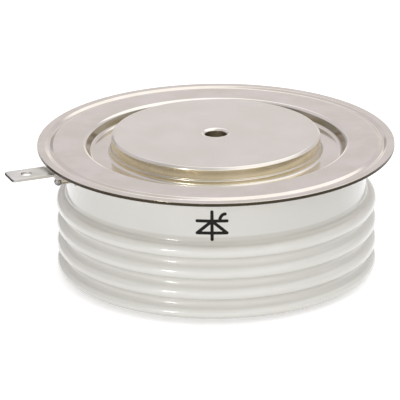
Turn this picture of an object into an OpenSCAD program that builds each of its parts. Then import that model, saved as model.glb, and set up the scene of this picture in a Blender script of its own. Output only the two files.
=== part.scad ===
// Disc thyristor in a ribbed ceramic capsule, clamped between two busbars or heat sinks.
// The origin is the centre of the anode face. +Z runs up to the cathode face.
// The gate tab points along -X.

/* [Overall] */
// Height from the anode face to the cathode face
body_h = 26; // [21.5:0.5:32]
// Diameter of each contact face
contact_d = 38; // [32:0.5:46]

/* [Contact faces] */
// Chamfer round the edge of each contact face
contact_chamfer = 0.4; // [0.2:0.1:0.6]
// Diameter of the locating hole in each contact face
locating_d = 4; // [3:0.1:5]
// Depth of the locating hole
locating_depth = 2.2; // [1.6:0.1:2.7]
// Chamfer round the mouth of the locating hole
locating_chamfer = 0.5; // [0.2:0.1:0.6]
// Height of the cathode face above the flange
cathode_step = 1.6; // [1:0.1:2.2]
// Height of the anode flange above the anode face
anode_step = 0.7; // [0.4:0.05:1.2]

/* [Cathode flange] */
// Thickness of the cathode flange sheet
cap_t = 0.35; // [0.2:0.05:0.4]
// Width of the shoulder round the cathode contact
shoulder_w = 0.7; // [0.5:0.1:1.2]
// Depth of the shoulder below the flange
shoulder_drop = 0.9; // [0.4:0.1:1]
// Radius of the fillet at the foot of the shoulder
shoulder_fillet = 0.65; // [0.3:0.05:0.7]
// Width of the floor of the recess
recess_floor_w = 2.9; // [2.2:0.1:3.5]
// Depth of the recess below the flange
recess_depth = 1.85; // [1.75:0.05:2.3]
// Slope of the recess wall, in degrees from flat
recess_slope = 65; // [50:1:80]
// Inside radius of the bend at the foot of the recess wall
foot_bend = 0.7; // [0.4:0.05:0.75]
// Outside radius of the bend at the lip of the recess
lip_bend = 0.8; // [0.5:0.05:0.85]
// How far the flange reaches past the ribs
rim_overhang = 3.2; // [2.8:0.1:4.5]
// Distance from the rim to the weld groove
groove_inset = 1.4; // [1:0.05:1.7]
// Width of the weld groove
groove_w = 1.5; // [1.1:0.05:1.6]
// Depth of the weld groove
groove_depth = 0.4; // [0.2:0.05:0.45]

/* [Weld ring] */
// Thickness of the weld ring and of its braze foot
ring_t = 0.3; // [0.2:0.05:0.35]
// Height of the flange above the ceramic
collar_h = 2; // [1.8:0.1:2.6]
// Slope of the collar of the weld ring, in degrees from flat
collar_slope = 80; // [60:1:85]
// Distance from the edge of the ceramic to the collar
collar_inset = 0.4; // [0.2:0.1:0.8]

/* [Ceramic] */
// Thickness of the ceramic wall at the plain band
ceramic_wall = 2.8; // [2.4:0.1:4]
// How far a rib stands out past the plain band
rib_h = 1.9; // [1.5:0.1:2.3]
// Depth of the valleys between the ribs
valley_depth = 1.8; // [1.2:0.1:1.9]
// Distance from one rib to the next
rib_pitch = 3.9; // [3.2:0.1:4.6]
// Number of whole ribs
rib_count = 3; // [2:1:3]
// Radius of the valleys between the ribs
valley_round = 0.6; // [0.3:0.05:0.7]
// Radius of the base bead below the last rib
base_round = 1.05; // [0.8:0.05:1.2]
// Radius of the top edge of the ceramic
top_round = 0.4; // [0.2:0.05:0.5]

/* [Anode flange] */
// Thickness of the anode flange sheet
anode_sheet_t = 0.45; // [0.3:0.05:0.6]
// Height of the relief bead in the anode flange
relief_h = 0.4; // [0.2:0.05:0.6]
// Width of the pole ledge brazed on the anode flange
anode_ledge_w = 1.5; // [1:0.1:1.8]
// Height of that ledge
anode_ledge_h = 1.6; // [1:0.1:2.4]

/* [Semiconductor stack] */
// Height of the anode pole
anode_pole_h = 8.4; // [6:0.1:9]
// Thickness of the silicon wafer
wafer_t = 0.7; // [0.4:0.05:1]
// How much smaller than the contact the wafer is, all round
wafer_margin = 0.4; // [0.2:0.1:1]
// Thickness of the molybdenum disc under the wafer
anode_disc_t = 2.2; // [1.5:0.1:2.6]
// Thickness of the molybdenum disc over the wafer
cathode_disc_t = 1.2; // [0.8:0.1:1.5]
// Thickness of the silver foil over the wafer
foil_t = 0.15; // [0.1:0.05:0.3]
// Height of the rubber seal above the wafer
seal_h = 0.55; // [0.3:0.05:0.8]
// Height that the centring ring grips on the anode pole
centring_grip = 3; // [2:0.1:4]

/* [Gate] */
// Outside diameter of the gate tube
tube_d = 1.2; // [1:0.05:1.6]
// Wall of the gate tube
tube_wall = 0.25; // [0.15:0.05:0.3]
// Depth of the gate tube below the top of the ceramic
tube_drop = 1.5; // [1.2:0.1:1.9]
// Distance from the rim to the end of the gate tube
tube_setback = 1.8; // [1.5:0.1:2.4]
// Diameter of the gate lead
lead_d = 0.5; // [0.3:0.05:0.6]
// Outside diameter of the sleeve on the gate lead
sleeve_d = 1.2; // [0.9:0.05:1.4]
// Bend radius of the gate lead
lead_bend = 1.2; // [0.9:0.1:1.3]
// Radius of the gate pocket in the cathode pole
pocket_r = 4; // [3.5:0.1:5]
// Thickness of the roof of the gate pocket
pocket_roof = 1.2; // [0.8:0.1:1.5]
// Wall of the gate insulator
insulator_wall = 1.6; // [1:0.1:1.8]
// Radius of the gate pin
pin_r = 0.9; // [0.7:0.05:1.1]
// Diameter of the spring wire
spring_wire = 0.4; // [0.3:0.05:0.45]
// Number of turns of the spring
spring_turns = 6; // [4:1:7]

/* [Gate tab] */
// Width of the gate tab
tab_w = 4.8; // [3.8:0.1:6.3]
// Thickness of the gate tab
tab_t = 0.5; // [0.4:0.05:0.6]
// Length of the flat part of the gate tab
tab_len = 7.9; // [6.8:0.1:9]
// Diameter of the hole in the gate tab
tab_hole_d = 2; // [1.4:0.1:2.4]
// Distance from the tip of the tab to the centre of its hole
tab_hole_inset = 3.4; // [2.6:0.1:3.8]
// Chamfer on the two corners of the tip
tab_chamfer = 0.2; // [0.1:0.1:1]
// How far the flat part of the tab reaches under the rim
tab_reach = 0.5; // [0.4:0.1:0.8]
// Height of the tab above its foot
tab_rise = 1.3; // [1.2:0.05:1.4]
// Width of the foot of the tab
tab_foot_w = 1.8; // [1.2:0.1:2.4]

/* [Fits] */
// Clearance all round a brazed joint
braze_gap = 0.05; // [0.02:0.01:0.1]
// Clearance between the recess and the bore of the ceramic
ceramic_clear = 0.15; // [0.1:0.05:0.5]
// Clearance round the loose pieces inside the housing
inner_clear = 0.1; // [0.05:0.05:0.3]
// Clearance round the sleeve in the slot of the cathode pole
slot_clear = 0.2; // [0.1:0.05:0.3]

/* [Hidden] */

// Smoothness of the round faces, and steps in each drawn arc
round_fn = 96;
arc_steps = 8;
// A short length by which a cut runs past the face it opens
past = 0.5;

// Colours
ceramic_white = [0.87, 0.86, 0.82];
nickel = [0.80, 0.77, 0.74];
nickel_bright = [0.86, 0.84, 0.80];
copper = [0.78, 0.48, 0.34];
silicon_grey = [0.33, 0.36, 0.42];
molybdenum = [0.55, 0.56, 0.58];
silver = [0.88, 0.88, 0.86];
rubber_clear = [0.80, 0.72, 0.55];
ptfe = [0.95, 0.95, 0.93];
solder = [0.60, 0.60, 0.58];
steel = [0.62, 0.63, 0.64];

// Radii of the cathode side, from the contact outwards
contact_r = contact_d / 2;
shoulder_r = contact_r + shoulder_w;
pole_body_r = contact_r - shoulder_w / 2;
// Angle from flat at which the fillet of the shoulder ends on the floor of the recess
fillet_end = 15;
foot_r = shoulder_r + recess_floor_w;
wall_len = bend_wall(recess_depth, foot_bend, lip_bend, recess_slope);
lip_r = foot_r + bend_run(wall_len, foot_bend, lip_bend, recess_slope);
bore_r = lip_r + ceramic_clear;
band_r = bore_r + ceramic_wall;
crest_r = band_r + rib_h;
flange_r = crest_r + rim_overhang;
groove_out = flange_r - groove_inset;
groove_in = groove_out - groove_w;
groove_side = groove_depth;

// Heights of the cathode side, from the top downwards
flange_z = body_h - cathode_step;
shoulder_z = flange_z - shoulder_drop;
recess_z = flange_z - recess_depth;
weld_z = flange_z - cap_t;
ceramic_top = flange_z - collar_h;
ceramic_bottom = anode_step + anode_sheet_t;

// Ribs of the ceramic: crest and valley arcs that meet smoothly
half_pitch = rib_pitch / 2;
arc_sum = (pow(valley_depth, 2) + pow(half_pitch, 2)) / (2 * valley_depth);
rib_round = arc_sum - valley_round;
flank_angle = atan2(half_pitch, arc_sum - valley_depth);
rib_arc_r = crest_r - rib_round;
valley_arc_r = rib_arc_r + arc_sum - valley_depth;
base_arc_r = crest_r - base_round;
base_z = ceramic_bottom + base_round;
base_angle = acos((valley_arc_r - base_arc_r) / (base_round + valley_round));
last_valley_z = base_z + (base_round + valley_round) * sin(base_angle);
first_valley_z = last_valley_z + rib_pitch * rib_count;
// The plain band ends in a fillet on the first rib
band_arc_r = band_r + valley_round;
band_angle = acos((band_arc_r - rib_arc_r) / arc_sum);
band_end_z = first_valley_z - half_pitch + arc_sum * sin(band_angle);

// Heights of the semiconductor stack, from the anode pole upwards
disc_z = anode_pole_h;
wafer_z = disc_z + anode_disc_t;
foil_z = wafer_z + wafer_t;
cathode_disc_z = foil_z + foil_t;
stack_top = cathode_disc_z + cathode_disc_t;
wafer_r = contact_r - wafer_margin;
wafer_bevel = wafer_t;
cathode_disc_r = wafer_r - wafer_bevel - 2 * wafer_margin;
seal_in_r = cathode_disc_r + wafer_margin;
anode_disc_r = wafer_r + 2 * wafer_margin;
gate_hole_r = pocket_r - insulator_wall / 2;
ledge_r = contact_r + anode_ledge_w;

// Gate: heights of the tube and of the lead in the slot of the pole
tube_r = tube_d / 2;
tube_z = ceramic_top - tube_drop;
tube_end = flange_r - tube_setback;
tube_start = bore_r - tube_r;
slot_w = sleeve_d + 2 * slot_clear;
slot_top = stack_top + slot_w;
lead_z = stack_top + slot_w / 2;
lead_drop_r = (pole_body_r + bore_r) / 2;
pocket_top = body_h - locating_depth - pocket_roof;
insulator_r = pocket_r - inner_clear;
insulator_bore = insulator_r - insulator_wall;
roof_z = pocket_top - insulator_wall / 2;
collar_z = slot_top + inner_clear;
collar_t = 0.5;
collar_r = insulator_bore - 2 * inner_clear;
spring_r = collar_r - spring_wire / 2;
spring_z = collar_z + collar_t;
guide_r = spring_r - spring_wire;
guide_len = (roof_z - spring_z) / 2;

// Gate tab: its bend and its heights
tab_foot_z = tube_z + tube_r;
tab_z = tab_foot_z + tab_rise;
tab_foot_bend = 0.4;
tab_lip_bend = tab_t + 0.3;
tab_slope = 75;
tab_wall = bend_wall(tab_rise, tab_foot_bend, tab_lip_bend, tab_slope);
tab_start = flange_r - tab_reach;
tab_bend_r = tab_start - bend_run(tab_wall, tab_foot_bend, tab_lip_bend, tab_slope);
tab_tip = tab_start + tab_len;
tab_foot_end = band_r + past;
tab_shoulder = flange_r - tab_reach / 2;

// Points of an arc, from angle a0 to angle a1
function arc(cx, cz, r, a0, a1) =
    [for (i = [0:arc_steps]) let (a = a0 + (a1 - a0) * i / arc_steps)
        [cx + r * cos(a), cz + r * sin(a)]];

// Length of the straight wall between two bends, for a given rise
function bend_wall(rise, foot, lip, slope) =
    (rise - (foot + lip) * (1 - cos(slope))) / sin(slope);

// Distance covered sideways by two bends and the wall between them
function bend_run(wall, foot, lip, slope) =
    (foot + lip) * sin(slope) + wall * cos(slope);

// Upper and lower outline of a sheet that rises from a low flat to a high flat
function bent_top(x, z, rise, foot, lip, slope, run) = concat(
    arc(x, z + foot, foot, -90, slope - 90),
    arc(x + run, z + rise - lip, lip, 90 + slope, 90));
function bent_under(x, z, rise, foot, lip, slope, run, t) = concat(
    arc(x + run, z + rise - lip, lip - t, 90, 90 + slope),
    arc(x, z + foot, foot + t, slope - 90, -90));

// Outline of the weld groove on a face at height z, from the inside outwards
function groove(z) = [
    [groove_in, z],
    [groove_in + groove_side, z - groove_depth],
    [groove_out - groove_side, z - groove_depth],
    [groove_out, z]
];

// The same outline from the outside inwards
function reversed(list) = [for (i = [len(list) - 1:-1:0]) list[i]];

// Outline of one rib of the ceramic, from its upper valley to its lower one
function rib(crest_z, upper_angle) = concat(
    arc(rib_arc_r, crest_z, rib_round, upper_angle, -flank_angle),
    arc(valley_arc_r, crest_z - half_pitch, valley_round, 180 - flank_angle, 180));

// Places its children on the gate side of the housing
module gate_side() {
    rotate([0, 0, 180]) children();
}

// A round bar that follows the gate lead from the radius outer to the radius inner
module lead_path(r, outer, inner) {
    lead_top = tube_z - lead_bend;
    translate([lead_drop_r + lead_bend, 0, tube_z]) rotate([0, 90, 0])
        cylinder(h = outer - lead_drop_r - lead_bend, r = r, $fn = round_fn);
    translate([lead_drop_r + lead_bend, 0, lead_top]) rotate([90, 0, 0]) rotate([0, 0, 90])
        rotate_extrude(angle = 90, $fn = round_fn)
            translate([lead_bend, 0]) circle(r = r, $fn = round_fn / 2);
    translate([lead_drop_r, 0, lead_z + lead_bend])
        cylinder(h = lead_top - lead_z - lead_bend, r = r, $fn = round_fn);
    translate([lead_drop_r - lead_bend, 0, lead_z + lead_bend]) rotate([90, 0, 0])
        rotate([0, 0, 270]) rotate_extrude(angle = 90, $fn = round_fn)
            translate([lead_bend, 0]) circle(r = r, $fn = round_fn / 2);
    translate([inner, 0, lead_z]) rotate([0, 90, 0])
        cylinder(h = lead_drop_r - lead_bend - inner, r = r, $fn = round_fn);
}

// Locating hole with its chamfer, cut upwards from height 0
module locating_hole() {
    translate([0, 0, -past]) cylinder(h = locating_depth + past, d = locating_d, $fn = round_fn);
    translate([0, 0, -past])
        cylinder(h = locating_chamfer + past, r1 = locating_d / 2 + locating_chamfer + past,
                 r2 = locating_d / 2, $fn = round_fn);
}

// Glazed ceramic tube with its plain band, ribs and base bead
module ceramic_housing() {
    color(ceramic_white) difference() {
        rotate_extrude($fn = round_fn) polygon(concat(
            [[bore_r, ceramic_bottom], [bore_r, ceramic_top]],
            arc(band_r - top_round, ceramic_top - top_round, top_round, 90, 0),
            arc(band_arc_r, band_end_z, valley_round, 180, 180 + band_angle),
            [for (i = [0:rib_count - 1], p = rib(first_valley_z - half_pitch - rib_pitch * i,
                i == 0 ? band_angle : flank_angle)) p],
            arc(valley_arc_r, last_valley_z, valley_round, 180, 180 + base_angle),
            arc(base_arc_r, base_z, base_round, base_angle, -90)));
        gate_side() translate([bore_r - past, 0, tube_z]) rotate([0, 90, 0])
            cylinder(h = ceramic_wall + 2 * past, r = tube_r + braze_gap, $fn = round_fn);
    }
}

// Copper cathode pole with its raised contact, shoulder, gate pocket and lead slot
module cathode_pole() {
    color(nickel) difference() {
        rotate_extrude($fn = round_fn) polygon([
            [0, stack_top],
            [cathode_disc_r, stack_top],
            [pole_body_r, stack_top + pole_body_r - cathode_disc_r],
            [pole_body_r, recess_z],
            [shoulder_r + shoulder_fillet * (1 - sin(fillet_end)), recess_z],
            each arc(shoulder_r + shoulder_fillet, recess_z + shoulder_fillet,
                     shoulder_fillet, 270 - fillet_end, 180),
            [shoulder_r, shoulder_z - contact_chamfer / 2],
            [shoulder_r - contact_chamfer / 2, shoulder_z],
            [contact_r, shoulder_z],
            [contact_r, body_h - contact_chamfer],
            [contact_r - contact_chamfer, body_h],
            [0, body_h]
        ]);
        translate([0, 0, body_h]) mirror([0, 0, 1]) locating_hole();
        translate([0, 0, stack_top - past])
            cylinder(h = pocket_top - stack_top + past, r = pocket_r, $fn = round_fn);
        gate_side() translate([0, -slot_w / 2, stack_top - past])
            cube([contact_r + shoulder_w + past, slot_w, slot_top - stack_top + past]);
    }
}

// Thin cathode flange with its stepped recess, flat face and weld groove
module cathode_flange() {
    run = lip_r - foot_r;
    color(nickel_bright) rotate_extrude($fn = round_fn) polygon(concat(
        [[pole_body_r + braze_gap, recess_z]],
        bent_top(foot_r, recess_z, recess_depth, foot_bend, lip_bend, recess_slope, run),
        groove(flange_z),
        [[flange_r, flange_z], [flange_r, weld_z]],
        reversed(groove(weld_z)),
        bent_under(foot_r, recess_z, recess_depth, foot_bend, lip_bend, recess_slope, run, cap_t),
        [[pole_body_r + braze_gap, recess_z - cap_t]]));
}

// Weld ring brazed on the ceramic, welded to the cathode flange round the rim
module cathode_weld_ring() {
    foot_z = ceramic_top + ring_t;
    rise = weld_z - foot_z;
    bend = 2 * ring_t;
    run = bend_run(bend_wall(rise, bend, bend, collar_slope), bend, bend, collar_slope);
    collar_foot = band_r - collar_inset - run;
    color(nickel) rotate_extrude($fn = round_fn) polygon(concat(
        [[bore_r + ceramic_clear, foot_z]],
        bent_top(collar_foot, foot_z, rise, bend, bend, collar_slope, run),
        groove(weld_z),
        [[flange_r, weld_z], [flange_r, weld_z - ring_t]],
        reversed(groove(weld_z - ring_t)),
        bent_under(collar_foot, foot_z, rise, bend, bend, collar_slope, run, ring_t),
        [[bore_r + ceramic_clear, ceramic_top]]));
}

// Copper anode pole with its contact face and the ledge brazed on the anode flange
module anode_pole() {
    color(nickel) difference() {
        rotate_extrude($fn = round_fn) polygon([
            [0, 0],
            [contact_r - contact_chamfer, 0],
            [contact_r, contact_chamfer],
            [contact_r, ceramic_bottom],
            [ledge_r, ceramic_bottom],
            [ledge_r, ceramic_bottom + anode_ledge_h],
            [pole_body_r, ceramic_bottom + anode_ledge_h + ledge_r - pole_body_r],
            [pole_body_r, anode_pole_h],
            [0, anode_pole_h]
        ]);
        locating_hole();
    }
}

// Anode flange: a sheet ring brazed under the ceramic, with a relief bead
module anode_flange() {
    bead_in = ledge_r + relief_h;
    bead_out = bore_r - relief_h;
    color(nickel_bright) rotate_extrude($fn = round_fn) polygon([
        [contact_r + braze_gap, anode_step],
        [bead_in, anode_step],
        [bead_in + relief_h, anode_step + relief_h],
        [bead_out - relief_h, anode_step + relief_h],
        [bead_out, anode_step],
        [band_r - collar_inset, anode_step],
        [band_r - collar_inset, ceramic_bottom],
        [bead_out, ceramic_bottom],
        [bead_out - relief_h, ceramic_bottom + relief_h],
        [bead_in + relief_h, ceramic_bottom + relief_h],
        [bead_in, ceramic_bottom],
        [contact_r + braze_gap, ceramic_bottom]
    ]);
}

// Silicon wafer with its bevelled edge
module silicon_wafer() {
    color(silicon_grey) translate([0, 0, wafer_z])
        cylinder(h = wafer_t, r1 = wafer_r, r2 = wafer_r - wafer_bevel, $fn = round_fn);
}

// Molybdenum disc that carries the wafer
module anode_disc() {
    color(molybdenum) translate([0, 0, disc_z])
        cylinder(h = anode_disc_t, r = anode_disc_r, $fn = round_fn);
}

// Flat ring with an open middle for the gate
module gated_disc(z, t) {
    translate([0, 0, z]) difference() {
        cylinder(h = t, r = cathode_disc_r, $fn = round_fn);
        translate([0, 0, -past]) cylinder(h = t + 2 * past, r = gate_hole_r, $fn = round_fn);
    }
}

// Molybdenum disc between the wafer and the cathode pole
module cathode_disc() {
    color(molybdenum) gated_disc(cathode_disc_z, cathode_disc_t);
}

// Silver foil between the wafer and the cathode disc
module cathode_foil() {
    color(silver) gated_disc(foil_z, foil_t);
}

// Rubber seal moulded round the edge of the wafer
module wafer_seal() {
    seal_out_r = wafer_r + wafer_margin;
    color(rubber_clear) rotate_extrude($fn = round_fn) polygon([
        [wafer_r, wafer_z],
        [seal_out_r, wafer_z],
        [seal_out_r, foil_z],
        [seal_out_r - seal_h, foil_z + seal_h],
        [seal_in_r, foil_z + seal_h],
        [seal_in_r, foil_z],
        [wafer_r - wafer_bevel, foil_z]
    ]);
}

// Plastic ring that centres the stack in the ceramic and grips the anode pole
module centring_ring() {
    ring_out_r = bore_r - 2 * inner_clear;
    disc_gap_r = anode_disc_r + inner_clear;
    color(ptfe) rotate_extrude($fn = round_fn) polygon([
        [pole_body_r + inner_clear, disc_z - centring_grip],
        [ring_out_r, disc_z - centring_grip],
        [ring_out_r, wafer_z + foil_t],
        [disc_gap_r, wafer_z + foil_t],
        [disc_gap_r, disc_z],
        [pole_body_r + inner_clear, disc_z]
    ]);
}

// Gate tube brazed through the ceramic wall
module gate_tube() {
    color(nickel_bright) gate_side() translate([tube_start, 0, tube_z]) rotate([0, 90, 0])
        difference() {
            cylinder(h = tube_end - tube_start, r = tube_r, $fn = round_fn);
            translate([0, 0, -past])
                cylinder(h = tube_end - tube_start + 2 * past, r = tube_r - tube_wall, $fn = round_fn);
        }
}

// Solder dome that closes the outer end of the gate tube
module gate_tube_seal() {
    color(solder) gate_side() translate([tube_end, 0, tube_z]) rotate([0, 90, 0])
        rotate_extrude($fn = round_fn) polygon(concat([[0, 0]], arc(0, 0, tube_r, 0, 90)));
}

// Gate tab: a stamped strip with a bent foot soldered on the gate tube
module gate_tab() {
    half = tab_w / 2;
    foot_half = tab_foot_w / 2;
    run = tab_start - tab_bend_r;
    foot_top = tab_foot_z + tab_t;
    color(nickel_bright) gate_side() difference() {
        intersection() {
            translate([0, half, 0]) rotate([90, 0, 0]) linear_extrude(height = tab_w)
                polygon(concat(
                    [[tab_foot_end, foot_top]],
                    bent_top(tab_bend_r, foot_top, tab_rise, tab_foot_bend, tab_lip_bend,
                             tab_slope, run),
                    [[tab_tip, tab_z + tab_t], [tab_tip, tab_z]],
                    bent_under(tab_bend_r, foot_top, tab_rise, tab_foot_bend, tab_lip_bend,
                               tab_slope, run, tab_t),
                    [[tab_foot_end, tab_foot_z]]));
            translate([0, 0, tab_foot_z - past]) linear_extrude(height = tab_rise + tab_t + 2 * past)
                polygon([
                    [tab_foot_end - past, -foot_half],
                    [tab_shoulder - foot_half, -foot_half],
                    [tab_shoulder, -half],
                    [tab_tip - tab_chamfer, -half],
                    [tab_tip, tab_chamfer - half],
                    [tab_tip, half - tab_chamfer],
                    [tab_tip - tab_chamfer, half],
                    [tab_shoulder, half],
                    [tab_shoulder - foot_half, foot_half],
                    [tab_foot_end - past, foot_half]
                ]);
        }
        translate([tab_tip - tab_hole_inset, 0, tab_z - past])
            cylinder(h = tab_t + 2 * past, d = tab_hole_d, $fn = round_fn);
    }
}

// Gate lead from the end of the gate tube, down past the pole and in to the gate pin
module gate_lead() {
    color(silver) gate_side() lead_path(lead_d / 2, tube_end, pin_r);
}

// Insulating sleeve on the gate lead inside the housing
module gate_lead_sleeve() {
    color(ptfe) gate_side() difference() {
        lead_path(sleeve_d / 2, tube_start, pocket_r);
        lead_path(lead_d / 2, tube_start + past, pocket_r - past);
    }
}

// Insulating cup that holds the gate pin and its spring in the pocket of the pole
module gate_insulator() {
    color(ptfe) difference() {
        translate([0, 0, stack_top])
            cylinder(h = pocket_top - stack_top, r = insulator_r, $fn = round_fn);
        translate([0, 0, stack_top - past])
            cylinder(h = roof_z - stack_top + past, r = insulator_bore, $fn = round_fn);
        gate_side() translate([0, -slot_w / 2, stack_top - past])
            cube([pocket_r + past, slot_w, slot_top - stack_top + past]);
    }
}

// Gate pin that presses on the middle of the wafer, with a collar for its spring
module gate_pin() {
    color(silver) rotate_extrude($fn = round_fn) polygon([
        [0, foil_z],
        [pin_r - contact_chamfer / 2, foil_z],
        [pin_r, foil_z + contact_chamfer / 2],
        [pin_r, collar_z],
        [collar_r, collar_z],
        [collar_r, spring_z],
        [guide_r, spring_z],
        [guide_r, spring_z + guide_len],
        [0, spring_z + guide_len]
    ]);
}

// Round wire coiled into the gate spring, as one closed skin
module gate_spring() {
    wire_sides = 10;
    turn_steps = 24;
    steps = spring_turns * turn_steps;
    wire_r = spring_wire / 2;
    low = spring_z + wire_r;
    high = roof_z - wire_r;
    ring = [for (i = [0:steps], s = [0:wire_sides - 1])
        let (turn = 360 * i / turn_steps, side = 360 * s / wire_sides,
             r = spring_r - wire_r + wire_r * cos(side))
        [r * cos(turn), r * sin(turn), low + (high - low) * i / steps + wire_r * sin(side)]];
    skin = [for (i = [0:steps - 1], s = [0:wire_sides - 1])
        let (a = i * wire_sides + s, b = i * wire_sides + (s + 1) % wire_sides)
        [a, b, b + wire_sides, a + wire_sides]];
    color(steel) polyhedron(
        points = ring,
        faces = concat(
            [[for (s = [wire_sides - 1:-1:0]) s]],
            skin,
            [[for (s = [0:wire_sides - 1]) steps * wire_sides + s]]));
}

ceramic_housing();
cathode_pole();
cathode_flange();
cathode_weld_ring();
anode_pole();
anode_flange();
silicon_wafer();
anode_disc();
cathode_disc();
cathode_foil();
wafer_seal();
centring_ring();
gate_tube();
gate_tube_seal();
gate_tab();
gate_lead();
gate_lead_sleeve();
gate_insulator();
gate_pin();
gate_spring();
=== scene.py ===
import math
from itertools import accumulate

import bmesh
import bpy
from bpy.props import (
    FloatProperty, FloatVectorProperty, IntProperty, PointerProperty,
)
from bpy.types import Operator, Panel, PropertyGroup
from mathutils import Matrix, Vector


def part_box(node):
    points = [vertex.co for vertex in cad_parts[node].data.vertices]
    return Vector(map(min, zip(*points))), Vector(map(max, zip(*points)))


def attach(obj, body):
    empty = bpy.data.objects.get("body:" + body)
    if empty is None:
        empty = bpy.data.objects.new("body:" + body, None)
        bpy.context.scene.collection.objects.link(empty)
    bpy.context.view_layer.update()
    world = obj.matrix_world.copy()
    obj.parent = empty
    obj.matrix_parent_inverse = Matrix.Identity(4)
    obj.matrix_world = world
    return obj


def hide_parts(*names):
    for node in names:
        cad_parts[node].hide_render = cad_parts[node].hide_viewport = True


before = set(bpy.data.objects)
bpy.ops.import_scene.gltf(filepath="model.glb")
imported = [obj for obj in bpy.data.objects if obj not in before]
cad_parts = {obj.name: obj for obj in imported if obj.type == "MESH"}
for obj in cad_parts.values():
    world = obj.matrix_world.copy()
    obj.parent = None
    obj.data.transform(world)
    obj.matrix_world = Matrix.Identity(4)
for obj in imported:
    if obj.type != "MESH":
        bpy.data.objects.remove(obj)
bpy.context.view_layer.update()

bl_info = {
    "name": "Disc thyristor",
    "version": (1, 0, 0),
    "blender": (4, 5, 0),
    "location": "3D View > Sidebar > Thyristor",
    "description": "Builds a disc thyristor in a ribbed ceramic capsule "
                   "round its packed frame",
    "category": "Add Mesh",
}

MM = 0.001
BODY = "root"

# Edges round a large and a small turned piece
TURNS, SMALL_TURNS = 256, 64
# Largest turn of one step of a fillet
STEP = math.radians(12)
# Steps of each bend of the tab, its hole, the hook of the symbol and the braze
BEND_STEPS, HOLE_STEPS, HOOK_STEPS, BRAZE_STEPS = 8, 48, 8, 6
# Steps up one valley strip, round the end of a printed line and across the symbol
STRIP_STEPS, CAP_STEPS, SYMBOL_STEPS = 36, 8, 24
# Faces that meet at more than this keep a sharp edge, or get a bevel
SHARP, BEVEL_FROM = math.radians(38), math.radians(60)
# Where the fillet of the shoulder ends, on the floor of the recess
FILLET_END = math.radians(258)
# Distance of the support ring that keeps a flat face flat beside its fillet
HOLD = 0.04 * MM
# How far a cutter stands out past the piece that it cuts
SPARE = 1 * MM
TINY = 1e-7
# Decimals of a metre in the heights of a turned piece
DECIMALS = 10


def top(node):
    """Highest point of a CAD node."""
    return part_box(node)[1].z


def foot(node):
    """Lowest point of a CAD node."""
    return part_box(node)[0].z


def reach(node):
    """Outer radius of a turned CAD node."""
    return min(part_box(node)[1].x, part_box(node)[1].y)


# ---------------------------------------------------------------- sizes and colours

def length(name, value, description):
    """A size that the user gives in millimetres and Blender holds in metres."""
    return FloatProperty(name=name, description=description, default=value * MM,
                         min=0, precision=5, unit="LENGTH", subtype="DISTANCE")


def angle(name, value, description):
    """An angle given in degrees."""
    return FloatProperty(name=name, description=description,
                         default=math.radians(value), unit="ROTATION", subtype="ANGLE")


def colour(name, value, description):
    """A colour given as linear red, green and blue."""
    return FloatVectorProperty(name=name, description=description, default=value,
                               size=3, min=0, max=1, subtype="COLOR")


def factor(name, value, description):
    """A share between nothing and all."""
    return FloatProperty(name=name, description=description, default=value,
                         min=0, max=1, subtype="FACTOR")


def amount(name, value, description):
    """A plain number."""
    return FloatProperty(name=name, description=description, default=value, min=0)


class ContactSizes(PropertyGroup):
    """Sizes of the two copper contacts"""
    face_d: length("Face diameter", 38, "Diameter of each contact face")
    chamfer: length("Chamfer", 0.4, "Chamfer round each contact face")
    soft: length("Edge radius", 0.12, "Radius that softens each turned edge")
    corner_soft: length("Corner radius", 0.1, "Radius of the inner corners")
    hidden_soft: length("Hidden radius", 0.2, "Radius of the edges in the housing")
    cone_soft: length("Cone radius", 0.3, "Radius where the body meets its cone")
    step_drop: length("Shoulder depth", 0.7, "Depth of the shoulder below the flange")
    shoulder_w: length("Shoulder width", 0.2, "Width of the shoulder round the contact")
    shoulder_soft: length("Shoulder radius", 0.2, "Radius of the edge of the shoulder")
    # Painted highlight on the shoulder edge
    shoulder_highlight: factor("Shoulder edge", 0.4, "How far that edge is rubbed bright")
    fillet: length("Shoulder fillet", 0.6, "Radius of the fillet that meets the recess")
    body_inset: length("Body inset", 0.35, "Contact face edge to the hidden body")
    hole_d: length("Hole diameter", 4, "Diameter of the locating hole")
    hole_depth: length("Hole depth", 2.2, "Depth of the locating hole")
    hole_chamfer: length("Hole chamfer", 0.35, "Chamfer round the locating hole")
    hole_soft: length("Hole radius", 0.05, "Radius between the hole and its chamfer")
    hole_round: length("Hole edge", 0.8, "Radius from the chamfer to the cathode face")
    hole_edge: length("Anode hole edge", 0.08, "Radius from the chamfer to the anode face")
    hole_shade: factor("Hole shade", 0.5, "How dark the bottom of the cathode hole is")
    shade_top: factor("Upper shade", 0.7, "Share of that shade near the chamfer")
    shade_from: length("Shade start", 0.2, "Chamfer down to where the shade starts")
    pocket_r: length("Pocket radius", 4, "Radius of the gate pocket")
    pocket_roof: length("Pocket roof", 1.2, "Metal between the hole and the pocket")
    stack_r: length("Stack radius", 17.1, "Radius that presses on the wafer stack")
    slot_w: length("Slot width", 1.6, "Width of the slot for the gate lead")
    slot_in: length("Slot end", 0.5, "How far the slot runs into the gate pocket")
    ledge_h: length("Ledge height", 1.6, "Height of the brazed ledge of the anode")


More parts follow.
